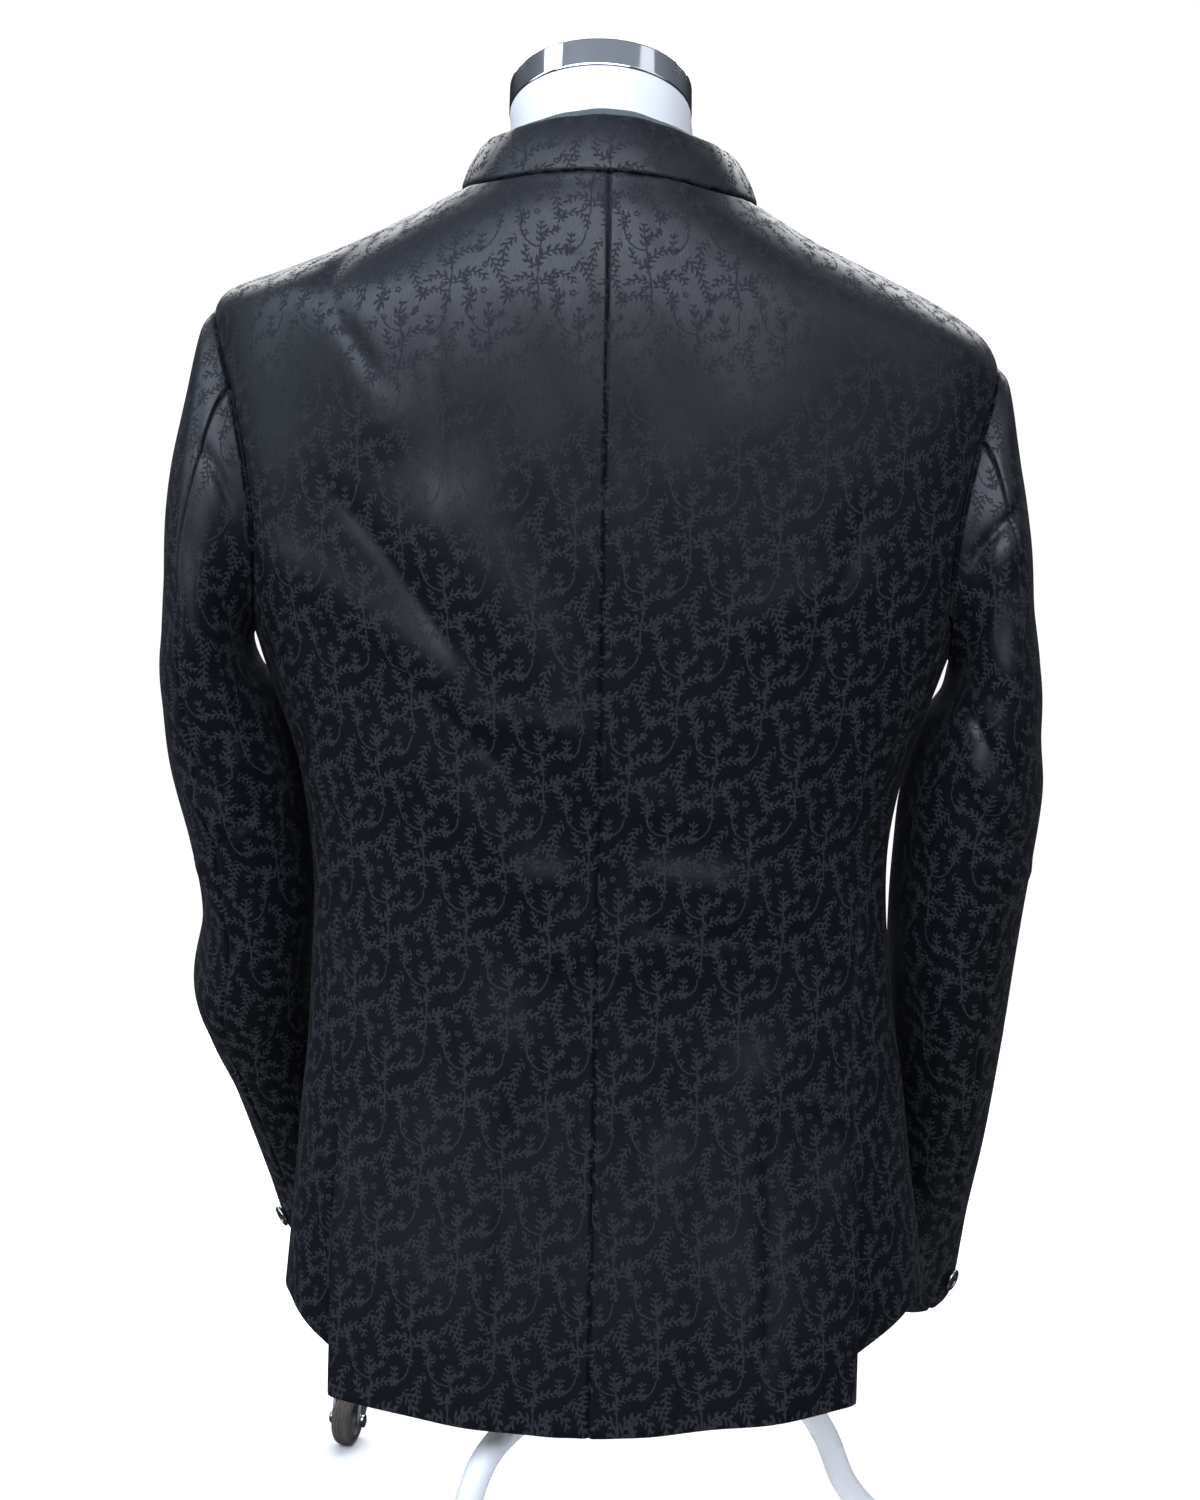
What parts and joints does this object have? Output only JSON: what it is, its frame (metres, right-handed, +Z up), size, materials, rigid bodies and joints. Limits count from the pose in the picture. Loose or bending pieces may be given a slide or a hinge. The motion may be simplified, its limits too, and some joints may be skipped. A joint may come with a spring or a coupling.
{
  "type": "bandhgala jacket and waistcoat on a dress form",
  "caption": "Long-sleeved bandhgala jacket of dark vine-patterned cloth, buttoned over a stand-collar waistcoat, on a limbless white dress form with a castor stand.",
  "frame": {"origin": "middle of the whole part's outline seen from above, on the floor under the castors", "axes": "+Z up; the wearer's front faces -Y, the back faces +Y, and the wearer's left is +X"},
  "size_m": [0.6624, 0.6618, 1.0482],
  "materials": {
    "jacket_cloth": "self-patterned black-navy jacquard, satin ground with a matt vine",
    "waistcoat_cloth": "plain grey-green, matt",
    "button": "polished, with a silvery lip",
    "form_white": "satin white",
    "chrome": "polished",
    "stand_white": "satin white",
    "socket_tan": "matt tan",
    "fork_steel": "plain pressed steel",
    "tyre_rubber": "matt dark grey, worn brown on the tread",
    "rim_grey": "dark grey",
    "axle_zinc": "bright zinc"
  },
  "bodies": {
    "stand_and_clothes": {"back_left": "jacket_cloth", "back_right": "jacket_cloth", "side_left": "jacket_cloth", "side_right": "jacket_cloth", "front_left": "jacket_cloth", "front_right": "jacket_cloth", "collar": "jacket_cloth", "sleeve_top_left": "jacket_cloth", "sleeve_under_left": "jacket_cloth", "sleeve_top_right": "jacket_cloth", "sleeve_under_right": "jacket_cloth", "front_button_1": "button", "front_button_2": "button", "front_button_3": "button", "front_button_4": "button", "front_button_5": "button", "front_button_6": "button", "cuff_button_left": "button", "cuff_button_right": "button", "waistcoat_back": "waistcoat_cloth", "waistcoat_front_left": "waistcoat_cloth", "waistcoat_front_right": "waistcoat_cloth", "waistcoat_collar": "waistcoat_cloth", "waistcoat_button_1": "button", "waistcoat_button_2": "button", "waistcoat_button_3": "button", "waistcoat_button_4": "button", "waistcoat_button_5": "button", "form_torso": "form_white", "neck_cap": "chrome", "pole": "stand_white", "hub": "stand_white", "leg_1": "stand_white", "leg_2": "stand_white", "leg_3": "stand_white", "castor_socket_1": "socket_tan", "castor_socket_2": "socket_tan", "castor_socket_3": "socket_tan"},
    "fork_1": {"castor_fork_1": "fork_steel", "castor_axle_1": "axle_zinc"},
    "wheel_1": {"castor_tyre_1": "tyre_rubber", "castor_rim_1": "rim_grey"},
    "fork_2": {"castor_fork_2": "fork_steel", "castor_axle_2": "axle_zinc"},
    "wheel_2": {"castor_tyre_2": "tyre_rubber", "castor_rim_2": "rim_grey"},
    "fork_3": {"castor_fork_3": "fork_steel", "castor_axle_3": "axle_zinc"},
    "wheel_3": {"castor_tyre_3": "tyre_rubber", "castor_rim_3": "rim_grey"}
  },
  "joints": [
    {"name": "swivel_1", "type": "hinge", "parent": "stand_and_clothes", "child": "fork_1", "pos_m": [0.23936, -0.31813, 0.065], "axis": [0, 0, 1], "continuous": true},
    {"name": "roll_1", "type": "hinge", "parent": "fork_1", "child": "wheel_1", "pos_m": [0.24298, -0.30461, 0.02], "axis": [-0.9659, 0.2588, 0], "continuous": true},
    {"name": "swivel_2", "type": "hinge", "parent": "stand_and_clothes", "child": "fork_2", "pos_m": [0.22718, 0.3162, 0.065], "axis": [0, 0, 1], "continuous": true},
    {"name": "roll_2", "type": "hinge", "parent": "fork_2", "child": "wheel_2", "pos_m": [0.21402, 0.31141, 0.02], "axis": [0.342, -0.9397, 0], "continuous": true},
    {"name": "swivel_3", "type": "hinge", "parent": "stand_and_clothes", "child": "fork_3", "pos_m": [-0.31608, -0.01151, 0.065], "axis": [0, 0, 1], "continuous": true},
    {"name": "roll_3", "type": "hinge", "parent": "fork_3", "child": "wheel_3", "pos_m": [-0.30461, -0.01954, 0.02], "axis": [0.5736, 0.8192, 0], "continuous": true}
  ]
}
